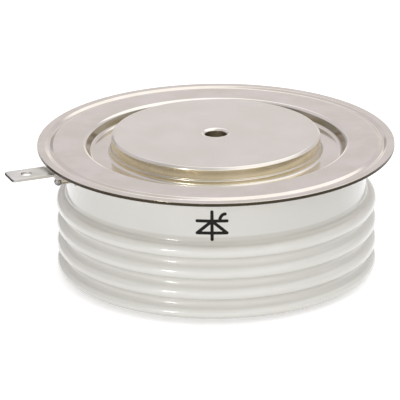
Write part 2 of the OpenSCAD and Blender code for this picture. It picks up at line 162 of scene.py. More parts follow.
class FlangeSizes(PropertyGroup):
    """Sizes of the thin flanges"""
    sheet: length("Sheet", 0.35, "Thickness of the cathode flange")
    floor_w: length("Recess floor", 3.2, "Width of the floor of the recess")
    depth: length("Recess depth", 1.85, "Depth of the recess below the flange")
    slope: angle("Recess slope", 65, "Slope of the wall of the recess")
    foot_bend: length("Foot bend", 0.7, "Inside radius at the foot of the wall")
    lip_bend: length("Lip bend", 0.8, "Outside radius at the lip of the recess")
    # Painted highlight on the lip of the recess
    lip_highlight: factor("Lip edge", 0.6, "How far the lip is rubbed bright")
    groove_inset: length("Groove inset", 1.4, "Rim to weld groove")
    groove_w: length("Groove width", 1.5, "Width of the weld groove")
    groove_depth: length("Groove depth", 0.4, "Depth of the weld groove")
    groove_soft: length("Groove radius", 0.4, "Radius of the edges of the groove")
    groove_round: length("Groove bottom", 0.6, "Radius of the bottom of the groove")
    rim_soft: length("Rim radius", 0.1, "Radius of the cut edge of the rim")
    weld_soft: length("Weld radius", 0.03, "Radius of the edges that meet in the weld")
    ring_sheet: length("Weld ring sheet", 0.3, "Thickness of the weld ring")
    ring_slope: angle("Collar slope", 80, "Slope of the collar of the weld ring")
    ring_inset: length("Collar inset", 0.4, "Edge of the ceramic to the collar")
    anode_sheet: length("Anode sheet", 0.45, "Thickness of the anode flange")
    relief: length("Relief bead", 0.4, "Height of the bead in the anode flange")
    relief_soft: length("Relief radius", 0.2, "Radius of the edges of that bead")
    inner_soft: length("Inner radius", 0.05, "Radius of the inner edges of the rings")
    joint: length("Braze joint", 0.05, "Clearance of a brazed joint")


class CeramicSizes(PropertyGroup):
    """Sizes of the glazed ceramic tube"""
    wall: length("Wall", 2.8, "Thickness of the wall at the plain band")
    rib_h: length("Rib height", 1.9, "How far a rib stands out past the band")
    valley_depth: length("Valley depth", 1.5, "Depth of the valleys between ribs")
    valley_round: length("Valley radius", 0.9, "Radius of the valleys")
    pitch: length("Rib pitch", 3.9, "Distance from one rib to the next")
    ribs: IntProperty(name="Ribs", description="Number of whole ribs", default=3, min=2)
    base_round: length("Base radius", 0.92, "Radius of the base bead")
    top_round: length("Top radius", 0.4, "Radius of the top edge")
    bore_round: length("Bore radius", 0.15, "Radius of the edges of the bore")
    fit: length("Recess fit", 0.15, "Clearance between recess and bore")


class GateSizes(PropertyGroup):
    """Sizes of the gate tube and the gate tab"""
    tube_wall: length("Tube wall", 0.25, "Wall of the gate tube")
    tube_soft: length("Tube radius", 0.06, "Radius of the edges of the tube")
    ball_d: length("Solder ball", 1.5, "Diameter of the solder ball on the tube")
    collar_d: length("Braze collar", 2.5, "Diameter of the braze round the tube")
    collar_h: length("Braze height", 0.45, "How far the braze climbs the tube")
    collar_sunk: length("Braze root", 0.3, "How deep the braze starts in the ceramic")
    sheet: length("Tab sheet", 0.5, "Thickness of the gate tab")
    foot_w: length("Foot width", 1.8, "Width of the foot of the tab")
    foot_bend: length("Foot bend", 0.4, "Inside radius of the lower bend")
    lip_bend: length("Lip bend", 0.8, "Outside radius of the upper bend")
    slope: angle("Bend slope", 75, "Slope between the two bends")
    flat_len: length("Flat length", 7.9, "Length of the flat part of the tab")
    full_from: length("Full width", 0.25, "Start of the flat part to the full width")
    hole_d: length("Hole diameter", 2, "Diameter of the hole in the tab")
    hole_inset: length("Hole inset", 3.4, "Tip of the tab to its hole")
    corner: length("Tip corner", 0.4, "Chamfer on the corners of the tip")
    # Painted shade on the sheared tip, over its bare metal
    tip_shade: factor("Tip shade", 1.0, "How far the sheared tip shows bare metal")
    bevel: length("Sheared edge", 0.06, "Radius of the sheared edges")


class SymbolSizes(PropertyGroup):
    """Sizes of the printed thyristor symbol"""
    turn: angle("Turn", 246.4, "Where the symbol stands round the band")
    centre_z: length("Height", 18.33, "Height of the middle of the symbol")
    line_h: length("Line", 2.6, "Half the length of the upright line")
    half_w: length("Half width", 2.62, "Half the width of the bar and triangle")
    bar_z: length("Bar", 0.87, "Bar above the middle")
    base_z: length("Triangle", 1.38, "Base of the triangle below the middle")
    hook_at: factor("Hook place", 0.52, "Where the hook leaves the bar, as a share of it")
    hook_w: factor("Hook width", 0.36, "Width of the hook, as a share of half the bar")
    hook_h: length("Hook height", 1.3, "Height of the hook above the bar")
    stroke: length("Stroke", 0.58, "Width of the printed lines")
    ink: length("Ink", 0.015, "Height of the ink on the glaze")


class Finishes(PropertyGroup):
    """Colours and gloss of the visible pieces"""
    glaze: colour("Glaze", (0.75, 0.74, 0.70), "White of the glazed ceramic")
    glaze_shade: colour("Thin glaze", (0.66, 0.65, 0.59), "Glaze where it runs thin")
    glaze_speck: colour("Glaze specks", (0.42, 0.38, 0.30), "Specks in the glaze")
    # Painted shade in the valleys and under the base bead
    valley_shade_tint: colour("Pooled glaze", (0.30, 0.28, 0.23), "Glaze where it pools")
    # Painted shade: the grey that the plain band under the flange tends to
    band_shade_tint: colour("Band", (0.45, 0.45, 0.43), "Grey that the plain band tends to")
    nickel_face: colour("Nickel face", (0.86, 0.80, 0.725), "Plating on the flat sheet")
    contact_face: colour("Contact face", (0.845, 0.795, 0.73), "Plating on the contacts")
    # Painted reflection: the warm tone of upright walls
    nickel_wall_reflection: colour("Nickel wall", (0.80, 0.73, 0.56), "Plating on the upright walls")
    # Painted shade in the recess wall
    sheet_wall_shade: colour("Sheet wall", (0.43, 0.385, 0.30), "Plating in the recess wall")
    tab_face: colour("Tab face", (0.76, 0.74, 0.70), "Plating on the gate tab")
    # Painted shade on the sides of the tab
    tab_wall_shade: colour("Tab wall", (0.48, 0.46, 0.43), "Plating on the sides of the tab")
    # Painted highlight on rounded edges
    nickel_edge_highlight: colour("Nickel edge", (0.95, 0.91, 0.85), "Plating rubbed bright on edges")
    nickel_speck: colour("Nickel specks", (0.45, 0.40, 0.34), "Specks on the plating")
    # Painted shade over the bare metal of the cut rim, and in the cathode hole and on the
    # tab tip
    cut_edge_and_shade: colour("Cut edge", (0.055, 0.045, 0.032), "Bare metal of the cut rim")
    solder: colour("Solder", (0.30, 0.29, 0.28), "Solder and braze metal")
    ink: colour("Ink", (0.008, 0.008, 0.007), "Ink of the symbol")
    plating_rough: factor("Plating roughness", 0.11, "Roughness of the nickel plating")
    # How far the painted shade darkens the valleys
    pool: factor("Valley tint", 0.4, "How far the glaze darkens in the valleys")
    # How far the painted shade under the flange greys the plain band
    band_shade: factor("Band tint", 0.26, "How far the plain band is greyer than the ribs")
    glaze_rough: factor("Glaze roughness", 0.28, "Roughness under the clear glaze")
    glaze_coat: factor("Glaze coat", 0.9, "Strength of the clear glaze")
    coat_rough: factor("Coat roughness", 0.06, "Roughness of the clear glaze")


class StageSettings(PropertyGroup):
    """Camera, light and floor"""
    turn: angle("Camera turn", -22, "Where the camera stands round the part")
    rise: angle("Camera rise", 19.6, "Height angle of the camera")
    far: length("Camera distance", 650, "Camera to the middle of the flange")
    aim: FloatVectorProperty(name="Aim", description="Point in the middle of the picture",
                             default=(-4.117 * MM, -2.328 * MM, 14.294 * MM), size=3,
                             subtype="TRANSLATION", unit="LENGTH")
    lens: FloatProperty(name="Lens", description="Focal length in millimetres",
                        default=321.75, min=1)
    roll: angle("Camera roll", 0.5, "Tilt of the camera to one side")
    floor: colour("Floor", (0.9, 0.9, 0.9), "Colour of the floor")
    floor_r: length("Floor radius", 4000, "Radius of the round floor")
    floor_lift: amount("Floor lift", 0.5, "Light that the camera sees on the floor")
    light: amount("Room light", 0.87, "Strength of the room light")
    lamp: amount("Lamp", 0.7, "Power of the small lamp in watts")
    lamp_turn: angle("Lamp turn", -33, "From the camera round to the lamp")
    lamp_rise: angle("Lamp rise", 15, "Height angle of the lamp")
    lamp_far: length("Lamp distance", 600, "Lamp to the middle of the part")
    lamp_w: length("Lamp width", 90, "Width of the lamp")
    lamp_h: length("Lamp height", 200, "Height of the lamp")


GROUPS = {
    "contact": ContactSizes, "flange": FlangeSizes, "ceramic": CeramicSizes,
    "gate": GateSizes, "symbol": SymbolSizes, "finish": Finishes, "stage": StageSettings,
}


class ThyristorSettings(PropertyGroup):
    """All settings of the disc thyristor"""
    contact: PointerProperty(type=ContactSizes, name="Contacts")
    flange: PointerProperty(type=FlangeSizes, name="Flanges")
    ceramic: PointerProperty(type=CeramicSizes, name="Ceramic")
    gate: PointerProperty(type=GateSizes, name="Gate")
    symbol: PointerProperty(type=SymbolSizes, name="Symbol")
    finish: PointerProperty(type=Finishes, name="Finishes")
    stage: PointerProperty(type=StageSettings, name="Stage")


def settings():
    """The settings held by the scene."""
    return bpy.context.scene.disc_thyristor


# ---------------------------------------------------------------- outlines

def arc(centre_r, centre_z, radius, start, end):
    """Points of an arc in an outline, both ends included."""
    steps = max(2, math.ceil(abs(end - start) / STEP))
    angles = [start + (end - start) * i / steps for i in range(steps + 1)]
    return [(centre_r + radius * math.cos(a), centre_z + radius * math.sin(a))
            for a in angles]


def rounded(corners):
    """Points and marks of the closed outline through some corners.

    A corner is its radius and height, and then, where they aren't nought, its fillet
    radius and its mark. A fillet gets a support point on both sides. The mark goes on
    the points of the fillet: up to 1 for a painted highlight on a rounded edge, and down
    to -1 for painted shade where the metal is cut or lies in the dark.
    """
    corners = [(*corner, 0, 0)[:4] for corner in corners]
    points, marks = [], []
    for i, (r, z, fillet, mark) in enumerate(corners):
        if fillet <= TINY:
            points.append((r, z))
            marks.append(mark)
            continue
        here = Vector((r, z))
        before = Vector(corners[i - 1][:2]) - here
        after = Vector(corners[(i + 1) % len(corners)][:2]) - here
        inside = before.angle(after)
        tangent = fillet / math.tan(inside / 2)
        turn = math.pi - inside
        steps = max(2, math.ceil(turn / STEP))
        one, two = before.normalized(), after.normalized()
        middle = here + (one + two).normalized() * (fillet / math.sin(inside / 2))
        start = here + one * tangent - middle
        side = 1 if one.x * two.y - one.y * two.x < 0 else -1
        bend = [middle + Matrix.Rotation(side * turn * k / steps, 2) @ start
                for k in range(steps + 1)]
        ends = min(mark, 0)
        points += [tuple(point) for point in (
            here + one * (tangent + HOLD), *bend, here + two * (tangent + HOLD))]
        marks += [ends, ends] + [mark] * (steps - 1) + [ends, ends]
    return points, marks


def step_run(rise, inner, outer, slope):
    """Wall between two bends that climb a rise, and the sideways reach of all three."""
    wall = (rise - (inner + outer) * (1 - math.cos(slope))) / math.sin(slope)
    return wall, (inner + outer) * math.sin(slope) + wall * math.cos(slope)


# ---------------------------------------------------------------- meshes

def shade(mesh):
    """Smooth shading, except where faces meet at a sharp edge."""
    mesh.polygons.foreach_set("use_smooth", [True] * len(mesh.polygons))
    mesh.set_sharp_from_angle(angle=SHARP)
    mesh.update()


def new_piece(name, bm):
    """A smooth-shaded object from a bmesh whose points are already in their place."""
    mesh = bpy.data.meshes.new(name)
    bm.to_mesh(mesh)
    bm.free()
    shade(mesh)
    piece = bpy.data.objects.new(name, mesh)
    bpy.context.scene.collection.objects.link(piece)
    return piece


def discard(piece):
    """Removes a helper piece and its mesh."""
    mesh = piece.data
    bpy.data.objects.remove(piece)
    bpy.data.meshes.remove(mesh)


def lathe(name, points, marks=None, turns=TURNS, closed=True, place=None):
    """A piece turned round Z, from an outline that runs anticlockwise."""
    bm = bmesh.new()
    edge = bm.verts.layers.float.new("edge")
    cut = bm.verts.layers.float.new("cut")
    around = [2 * math.pi * i / turns for i in range(turns)]
    rings = []
    for (r, z), mark in zip(points, marks or [0] * len(points)):
        spots = [(r * math.cos(a), r * math.sin(a)) for a in around]
        if r < TINY:
            spots = [(0, 0)]
        ring = [bm.verts.new((x, y, round(z, DECIMALS))) for x, y in spots]
        for vert in ring:
            vert[edge], vert[cut] = max(mark, 0), max(-mark, 0)
        rings.append(ring)
    pairs = list(zip(rings, rings[1:]))
    if closed:
        pairs.append((rings[-1], rings[0]))
    for low, high in pairs:
        if len(low) == len(high) == 1:
            continue
        for i in range(turns):
            j = (i + 1) % turns
            corners = [low[i % len(low)], low[j % len(low)],
                       high[j % len(high)], high[i % len(high)]]
            bm.faces.new(dict.fromkeys(corners))
    if place is not None:
        bm.transform(place)
    return new_piece(name, bm)


def apply_modifiers(piece):
    """Turns the piece's modifiers into its plain mesh and removes them."""
    graph = bpy.context.evaluated_depsgraph_get()
    graph.update()
    mesh = bpy.data.meshes.new_from_object(
        piece.evaluated_get(graph), preserve_all_data_layers=True, depsgraph=graph)
    if not mesh.polygons:
        raise RuntimeError(f"{piece.name} lost its faces")
    piece.modifiers.clear()
    old, piece.data = piece.data, mesh
    bpy.data.meshes.remove(old)
    mesh.name = piece.name


def combine(piece, other, operation):
    """Cuts the other piece out of the piece, or adds it, and removes the other."""
    change = piece.modifiers.new("Combine", "BOOLEAN")
    change.operation, change.solver, change.object = operation, "EXACT", other
    apply_modifiers(piece)
    discard(other)
    shade(piece.data)


def block(low, high):
    """A box used only to cut."""
    low, high = Vector(low), Vector(high)
    bm = bmesh.new()
    bmesh.ops.create_cube(bm, size=1, matrix=Matrix.Translation((low + high) / 2)
                          @ Matrix.Diagonal((*(high - low), 1)))
    return new_piece("cutter", bm)


def prism(rings, thick):
    """A flat solid in a bmesh, from an outline and any holes, half above and half below."""
    bm = bmesh.new()
    edges = []
    for ring in rings:
        verts = [bm.verts.new((x, y, -thick / 2)) for x, y in ring]
        edges += [bm.edges.new(pair) for pair in zip(verts, verts[1:] + verts[:1])]
    bmesh.ops.triangle_fill(bm, use_beauty=True, use_dissolve=False, edges=edges)
    lifted = bmesh.ops.extrude_face_region(bm, geom=bm.faces[:])["geom"]
    bmesh.ops.translate(bm, vec=(0, 0, thick),
                        verts=[v for v in lifted if isinstance(v, bmesh.types.BMVert)])
    bmesh.ops.recalc_face_normals(bm, faces=bm.faces)
    return bm


def slice_at(bm, start, end, steps):
    """Adds edges across the mesh, in equal steps from one place along X to another."""
    for i in range(steps + 1):
        bmesh.ops.bisect_plane(
            bm, geom=bm.verts[:] + bm.edges[:] + bm.faces[:], dist=TINY,
            plane_co=(start + (end - start) * i / steps, 0, 0), plane_no=(1, 0, 0))


def bevel_edges(bm, width):
    """Rounds every edge where two faces meet at a wide enough angle."""
    edges = [e for e in bm.edges
             if len(e.link_faces) == 2 and e.calc_face_angle(0) > BEVEL_FROM]
    bmesh.ops.bevel(bm, geom=edges, offset=width, segments=2, profile=0.5,
                    affect="EDGES", clamp_overlap=True)


def place_piece(piece, slot, material, *nodes):
    """Gives a finished piece its material and body, and hides the nodes it stands for. The
    slot is not used.
    """
    piece.data.materials.clear()
    piece.data.materials.append(material)
    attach(piece, BODY)
    if nodes:
        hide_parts(*nodes)


# ---------------------------------------------------------------- node trees

class Wire:
    """An output socket that can be used in sums, each of which adds a node."""

    def __init__(self, tree, socket):
        self.tree, self.socket = tree, socket

    def __add__(self, other):
        return self.tree.math("ADD", self, other)

    def __sub__(self, other):
        return self.tree.math("SUBTRACT", self, other)

    def __rsub__(self, other):
        return self.tree.math("SUBTRACT", other, self)

    def __mul__(self, other):
        return self.tree.math("MULTIPLY", self, other)

    def __truediv__(self, other):
        return self.tree.math("DIVIDE", self, other)

    def __rtruediv__(self, other):
        return self.tree.math("DIVIDE", other, self)

    def __abs__(self):
        return self.tree.math("ABSOLUTE", self)

    __radd__, __rmul__ = __add__, __mul__


class Tree:
    """Adds nodes to a tree and links their sockets."""

    def __init__(self, tree):
        self.tree = tree

    def put(self, socket, value):
        """Links an input socket to a wire, or sets its plain value."""
        if isinstance(value, Wire):
            self.tree.links.new(value.socket, socket)
        elif socket.type == "RGBA" and len(value) == 3:
            socket.default_value = (*value, 1)
        else:
            socket.default_value = value

    def fill(self, node, values):
        """Links or sets some inputs of a node."""
        for key, value in values.items():
            self.put(node.inputs[key], value)

    def add(self, kind, values=None, **options):
        """A node with its options set and its inputs filled."""
        node = self.tree.nodes.new(kind)
        for key, value in options.items():
            setattr(node, key, value)
        self.fill(node, values or {})
        return node

    def out(self, kind, values=None, output=0, **options):
        """One output of a new node."""
        return Wire(self, self.add(kind, values, **options).outputs[output])

    def wires(self, node):
        """The outputs of a node by name."""
        return {socket.name: Wire(self, socket) for socket in node.outputs}

    def use(self, name, build, values=None):
        """The outputs of a shared node group, which is built the first time."""
        group = bpy.data.node_groups.get(name) or build(name)
        return self.wires(self.add("ShaderNodeGroup", values, node_tree=group))

    def place(self, kind="Object"):
        """A texture coordinate of the surface."""
        return self.out("ShaderNodeTexCoord", output=kind)

    def split(self, vector):
        """The three parts of a vector."""
        return list(self.wires(self.add("ShaderNodeSeparateXYZ", {0: vector})).values())

    def join(self, x=0.0, y=0.0, z=0.0):
        """A vector or a colour from its three parts."""
        return self.out("ShaderNodeCombineXYZ", {0: x, 1: y, 2: z})

    def math(self, operation, *values, clamp=False):
        """The result of a sum on one to three numbers."""
        return self.out("ShaderNodeMath", dict(enumerate(values)), operation=operation,
                        use_clamp=clamp)

    def radius(self, x, y):
        """Distance from the axis."""
        return self.math("SQRT", x * x + y * y)

    def ramp(self, value, low, high, to_low=0.0, to_high=1.0):
        """A value moved smoothly from one range to another."""
        return self.out("ShaderNodeMapRange",
                        {"Value": value, "From Min": low, "From Max": high,
                         "To Min": to_low, "To Max": to_high}, "Result",
                        interpolation_type="SMOOTHSTEP")

    def blend(self, share, one, two, blend_type="MIX"):
        """Two colours mixed."""
        node = self.add("ShaderNodeMix", data_type="RGBA", blend_type=blend_type)
        sockets = {s.identifier: s for s in (*node.inputs, *node.outputs)}
        for key, value in (("Factor_Float", share), ("A_Color", one), ("B_Color", two)):
            self.put(sockets[key], value)
        return Wire(self, sockets["Result_Color"])

    def noise(self, vector, scale, detail, rough=0.5):
        """Soft three-dimensional noise between nought and one."""
        return self.out("ShaderNodeTexNoise",
                        {"Vector": vector, "Scale": scale, "Detail": detail,
                         "Roughness": rough}, noise_dimensions="3D")


def node_group(name, kind, inputs, outputs):
    """An empty node group: the group, its tree, its inputs by name and its output node."""
    group = bpy.data.node_groups.new(name, kind)
    for label, socket_type, default in inputs:
        socket = group.interface.new_socket(label, in_out="INPUT", socket_type=socket_type)
        if default is not None:
            socket.default_value = default
    for label, socket_type in outputs:
        group.interface.new_socket(label, in_out="OUTPUT", socket_type=socket_type)
    tree = Tree(group)
    return group, tree, tree.wires(tree.add("NodeGroupInput")), tree.add("NodeGroupOutput")


FLOAT, RGBA, MESH = "NodeSocketFloat", "NodeSocketColor", "NodeSocketGeometry"


def build_turned_lines(name):
    """Fine lines left by the lathe: rings on a face and hoops round a wall."""
    group, tree, get, out = node_group(
        name, "ShaderNodeTree",
        [("Spacing", FLOAT, 0.12), ("Waver", FLOAT, 0.02)], [("Lines", FLOAT)])
    x, y, z = tree.split(tree.place())
    step = get["Spacing"] * MM
    spot = tree.join(tree.radius(x, y) / step, z / step,
                     tree.math("ARCTAN2", y, x) * get["Waver"])
    tree.fill(out, {"Lines": tree.noise(spot, 1.0, 3.0, 0.6)})
    return group


def build_handling_marks(name):
    """Soft clouds and small specks that a used surface shows."""
    group, tree, get, out = node_group(
        name, "ShaderNodeTree",
        [("Cloud Size", FLOAT, 6.0), ("Speck Size", FLOAT, 0.35)],
        [("Clouds", FLOAT), ("Specks", FLOAT)])
    place = tree.place()
    clouds = tree.noise(place, 1 / MM / get["Cloud Size"], 4.0, 0.55)
    grain = tree.noise(place, 1 / MM / get["Speck Size"], 1.0)
    tree.fill(out, {"Clouds": tree.ramp(clouds, 0.3, 0.7),
                    "Specks": tree.ramp(grain, 0.68, 0.8)})
    return group


def build_plated_metal(name):
    """Nickel plating: flat faces, walls in painted shade and reflection, painted highlights
    on rounded edges, and painted shade on cut edges.
    """
    group, tree, get, out = node_group(
        name, "ShaderNodeTree",
        [("Face", RGBA, None), ("Wall", RGBA, None), ("Edge", RGBA, None),
         ("Cut", RGBA, None), ("Speck", RGBA, None), ("Roughness", FLOAT, 0.35),
         ("Line Spacing", FLOAT, 0.12), ("Line Depth", FLOAT, 0.3),
         ("Mark Strength", FLOAT, 0.5)],
        [("Color", RGBA), ("Roughness", FLOAT), ("Height", FLOAT)])
    # How far clouds, specks and the painted edge highlights change the colour and the
    # roughness
    cloud_light, cloud_blue, speck_share, highlight_share = 0.07, 0.05, 0.12, 0.8
    mark_rough, edge_rough, cut_rough, cloud_height = 0.06, 0.04, 0.15, 0.15
    # Steep faces take the wall colour: painted shade and reflection
    flat = tree.ramp(abs(tree.split(tree.place("Normal"))[2]), 0.42, 0.58)
    edge, cut = (tree.out("ShaderNodeAttribute", output="Fac", attribute_name=key)
                 for key in ("edge", "cut"))
    lines = tree.use("Turned lines", build_turned_lines,
                     {"Spacing": get["Line Spacing"]})["Lines"]
    marks = tree.use("Handling marks", build_handling_marks)
    cloudy = (marks["Clouds"] - 0.5) * get["Mark Strength"]
    lit = 1.0 + cloudy * cloud_light
    tint = tree.join(lit, lit, lit + cloudy * cloud_blue)
    metal = tree.blend(flat, get["Wall"], get["Face"])
    metal = tree.blend(1.0, metal, tint, "MULTIPLY")
    metal = tree.blend(marks["Specks"] * speck_share, metal, get["Speck"])
    # Painted highlight on rounded edges
    metal = tree.blend(edge * highlight_share, metal, get["Edge"])
    rough = get["Roughness"] + cloudy * mark_rough + (lines - 0.5) * mark_rough
    rough -= edge * edge_rough
    # Painted shade where the cut mark is, over the bare metal of cut edges
    tree.fill(out, {"Color": tree.blend(cut, metal, get["Cut"]),
                    "Roughness": tree.math("ADD", rough, cut * cut_rough, clamp=True),
                    "Height": lines * get["Line Depth"] + cloudy * cloud_height})
    return group


def new_material(name):
    """A material with one Principled shader: (material, tree, shader)."""
    material = bpy.data.materials.new(name)
    material.use_nodes = True
    material.node_tree.nodes.clear()
    tree = Tree(material.node_tree)
    shader = tree.add("ShaderNodeBsdfPrincipled")
    tree.add("ShaderNodeOutputMaterial", {"Surface": Wire(tree, shader.outputs[0])})
    return material, tree, shader


def bump(tree, height, depth):
    """A normal from a height."""
    return tree.out("ShaderNodeBump",
                    {"Height": height, "Distance": depth, "Strength": 1.0})


def plated(name, face, wall, rough_add, line_spacing, line_depth, marks):
    """A nickel-plated metal with its own lines, marks and roughness."""
    if known := bpy.data.materials.get(name):
        return known
    finish = settings().finish
    material, tree, shader = new_material(name)
    plate = tree.use("Plated metal", build_plated_metal, {
        "Face": face, "Wall": wall, "Edge": finish.nickel_edge_highlight, "Cut": finish.cut_edge_and_shade,
        "Speck": finish.nickel_speck, "Roughness": finish.plating_rough + rough_add,
        "Line Spacing": line_spacing, "Line Depth": line_depth, "Mark Strength": marks})
    tree.fill(shader, {"Base Color": plate["Color"], "Roughness": plate["Roughness"],
                       "Metallic": 1.0, "Normal": bump(tree, plate["Height"], 0.002 * MM)})
    return material


def nickel_sheet():
    """Plating of the sheet rings and the gate tube."""
    finish = settings().finish
    return plated("Nickel sheet", finish.nickel_face, finish.sheet_wall_shade,
                  rough_add=0.0, line_spacing=0.3, line_depth=0.15, marks=1.0)


def marked(name, base, other, cloud_size, speck_size, rough, metallic=0.0,
           depth=0.01 * MM, coat=0.0, lines=0.0, sheen=0.5):
    """A material that drifts between two colours, with specks and a slight unevenness."""
    if known := bpy.data.materials.get(name):
        return known
    material, tree, shader = new_material(name)
    marks = tree.use("Handling marks", build_handling_marks,
                     {"Cloud Size": cloud_size, "Speck Size": speck_size})
    height = clouds = marks["Clouds"]
    if lines:
        height = clouds + tree.use("Turned lines", build_turned_lines,
                                   {"Spacing": lines})["Lines"]
    dark = tuple(c * 0.6 for c in other)
    drift = tree.blend(marks["Specks"] * 0.1, tree.blend(clouds, base, other), dark)
    tree.fill(shader, {
        "Base Color": drift, "Roughness": (clouds - 0.5) * (rough * 0.3) + rough,
        "Metallic": metallic, "Specular IOR Level": sheen, "Coat Weight": coat,
        "Coat Roughness": 0.1, "Normal": bump(tree, height, depth)})
    return material


def glazed_ceramic():
    """White alumina under a clear glaze, warmer and darker in the valleys with painted
    shade, most in the first, and greyed by painted shade on the plain band.
    """
    name = "Glazed ceramic"
    if known := bpy.data.materials.get(name):
        return known
    finish, shape = settings().finish, Shape()
    material, tree, shader = new_material(name)
    place = tree.place()
    marks = tree.use("Handling marks", build_handling_marks,
                     {"Cloud Size": 9.0, "Speck Size": 0.5})
    base = tree.blend(marks["Clouds"] * 0.18, finish.glaze, finish.glaze_shade)
    base = tree.blend(marks["Specks"] * 0.06, base, finish.glaze_speck)
    x, y, z = tree.split(place)
    radius = tree.radius(x, y)
    # Heights from the first valley and from the foot, depth from the crests, and how
    # far out past the middle of the base bead
    rise, lift = z - shape.first_valley_z, z - shape.tube_foot
    sunk, past = shape.crest_r - radius, radius - shape.base_arc_r
    # Painted shade in the first valley, less in the lower ones, and under the base bead
    first = tree.ramp(rise, -0.9 * MM, -0.2 * MM) * tree.ramp(rise, 1.0 * MM, 0.3 * MM)
    lower = tree.ramp(rise, 0.0, -0.5 * MM) * tree.ramp(sunk, 0.6 * MM, 1.4 * MM)
    under = tree.ramp(lift, 0.8 * MM, 0.1 * MM) * tree.ramp(past, -0.2 * MM, 0.4 * MM)
    pools = (first + (lower * 0.25 + under * 0.6)) * finish.pool
    base = tree.blend(pools, base, finish.valley_shade_tint)
    # Painted shade: the plain band under the flange turns grey
    band = tree.ramp(rise, 0.2 * MM, 1.2 * MM) * finish.band_shade
    ripple = tree.noise(place, scale=420.0, detail=2.0, rough=0.45)
    tree.fill(shader, {
        "Base Color": tree.blend(band, base, finish.band_shade_tint),
        "Roughness": finish.glaze_rough + marks["Clouds"] * 0.06,
        "Coat Weight": finish.glaze_coat, "Coat Roughness": finish.coat_rough, "IOR": 1.5,
        "Normal": bump(tree, ripple, 0.02 * MM)})
    return material


# ---------------------------------------------------------------- shapes

class Shape:
    """Radii and heights that several pieces share, from the CAD frame and the settings."""

    def __init__(self):
        given = settings()
        contact, flange, ceramic = given.contact, given.flange, given.ceramic
        self.face_z = top("cathode_pole")
        self.face_r = contact.face_d / 2
        self.shoulder_r = self.face_r + contact.shoulder_w
        self.body_r = self.face_r - contact.body_inset
        self.flange_z = top("cathode_flange")
        self.flange_r = reach("cathode_flange")
        self.recess_z = self.flange_z - flange.depth
        self.weld_z = top("cathode_weld_ring")
        self.crest_r = reach("ceramic_housing")
        self.band_r = self.crest_r - ceramic.rib_h
        self.bore_r = self.band_r - ceramic.wall
        self.tube_top = top("ceramic_housing")
        self.tube_foot = foot("ceramic_housing")
        # Ribs: crest and valley arcs that meet smoothly
        half, depth, fillet = ceramic.pitch / 2, ceramic.valley_depth, ceramic.valley_round
        arcs = (depth ** 2 + half ** 2) / (2 * depth)
        self.rib_round = arcs - fillet
        self.flank = math.atan2(half, arcs - depth)
        self.rib_arc_r = self.crest_r - self.rib_round
        self.valley_arc_r = self.rib_arc_r + arcs - depth
        self.base_arc_r = self.crest_r - ceramic.base_round
        self.base_z = self.tube_foot + ceramic.base_round
        base_arcs = ceramic.base_round + fillet
        self.base_angle = math.acos((self.valley_arc_r - self.base_arc_r) / base_arcs)
        self.last_valley_z = self.base_z + base_arcs * math.sin(self.base_angle)
        self.last_crest_z = self.last_valley_z + half
        self.first_valley_z = self.last_valley_z + ceramic.pitch * ceramic.ribs
        self.first_crest_z = self.first_valley_z - half
        self.band_angle = math.acos((self.band_r + fillet - self.rib_arc_r) / arcs)
        self.band_end_z = self.first_crest_z + arcs * math.sin(self.band_angle)


def build_rib_tree():
    """Geometry Nodes: one valley strip on each step down the tube, joined to the core."""
    group, tree, get, out = node_group(
        "Ceramic ribs", "GeometryNodeTree",
        [("Geometry", MESH, None), ("Crest Radius", FLOAT, 0.03),
         ("Valley Depth", FLOAT, 0.0016), ("Valley Radius", FLOAT, 0.0006),
         ("Pitch", FLOAT, 0.004), ("First Valley", FLOAT, 0.01),
         ("Valleys", "NodeSocketInt", 2), ("Turns", "NodeSocketInt", 64),
         ("Steps", "NodeSocketInt", 32), ("Material", "NodeSocketMaterial", None)],
        [("Geometry", MESH)])
    grid = tree.out("GeometryNodeMeshGrid", {
        "Size X": 1.0, "Size Y": 1.0, "Vertices X": get["Turns"] + 1.0,
        "Vertices Y": get["Steps"] + 1.0}, "Mesh")
    along, across, _ = tree.split(tree.out("GeometryNodeInputPosition"))
    half = get["Pitch"] * 0.5
    depth, fillet = get["Valley Depth"], get["Valley Radius"]
    arcs = (depth * depth + half * half) / (depth * 2.0)
    rib = arcs - fillet
    flank = tree.math("ARCTAN2", half, arcs - depth)
    rib_centre = get["Crest Radius"] - rib
    valley_centre = rib_centre + (arcs - depth)
    share = abs(across * 2.0)
    in_valley = tree.math("LESS_THAN", share, 0.5)
    valley_turn = flank * (share * 2.0)
    rib_turn = flank * ((1.0 - share) * 2.0)

    def sin(turn):
        return tree.math("SINE", turn)

    def cos(turn):
        return tree.math("COSINE", turn)

    def chosen(valley, crest):
        return valley * in_valley + crest * (1.0 - in_valley)

    radius = chosen(valley_centre - fillet * cos(valley_turn),
                    rib_centre + rib * cos(rib_turn))
    height = chosen(fillet * sin(valley_turn), half - rib * sin(rib_turn))
    turn = (along + 0.5) * (2 * math.pi)
    strip = tree.out("GeometryNodeSetPosition", {"Geometry": grid, "Position": tree.join(
        radius * cos(turn), radius * sin(turn), height * tree.math("SIGN", across))})
    line = tree.out("GeometryNodeMeshLine", {
        "Count": get["Valleys"], "Start Location": tree.join(z=get["First Valley"]),
        "Offset": tree.join(z=get["Pitch"] * -1.0)})
    strips = tree.out("GeometryNodeInstanceOnPoints", {"Points": line, "Instance": strip})
    joined = tree.add("GeometryNodeJoinGeometry", {0: strips})
    tree.fill(joined, {0: get["Geometry"]})
    real = tree.out("GeometryNodeRealizeInstances", {0: Wire(tree, joined.outputs[0])})
    merged = tree.out("GeometryNodeMergeByDistance", {"Geometry": real, "Distance": 2e-6})
    smooth = tree.out("GeometryNodeSetShadeSmooth", {"Geometry": merged})
    tree.fill(out, {0: tree.out("GeometryNodeSetMaterial", {
        "Geometry": smooth, "Material": get["Material"]})})
    return group


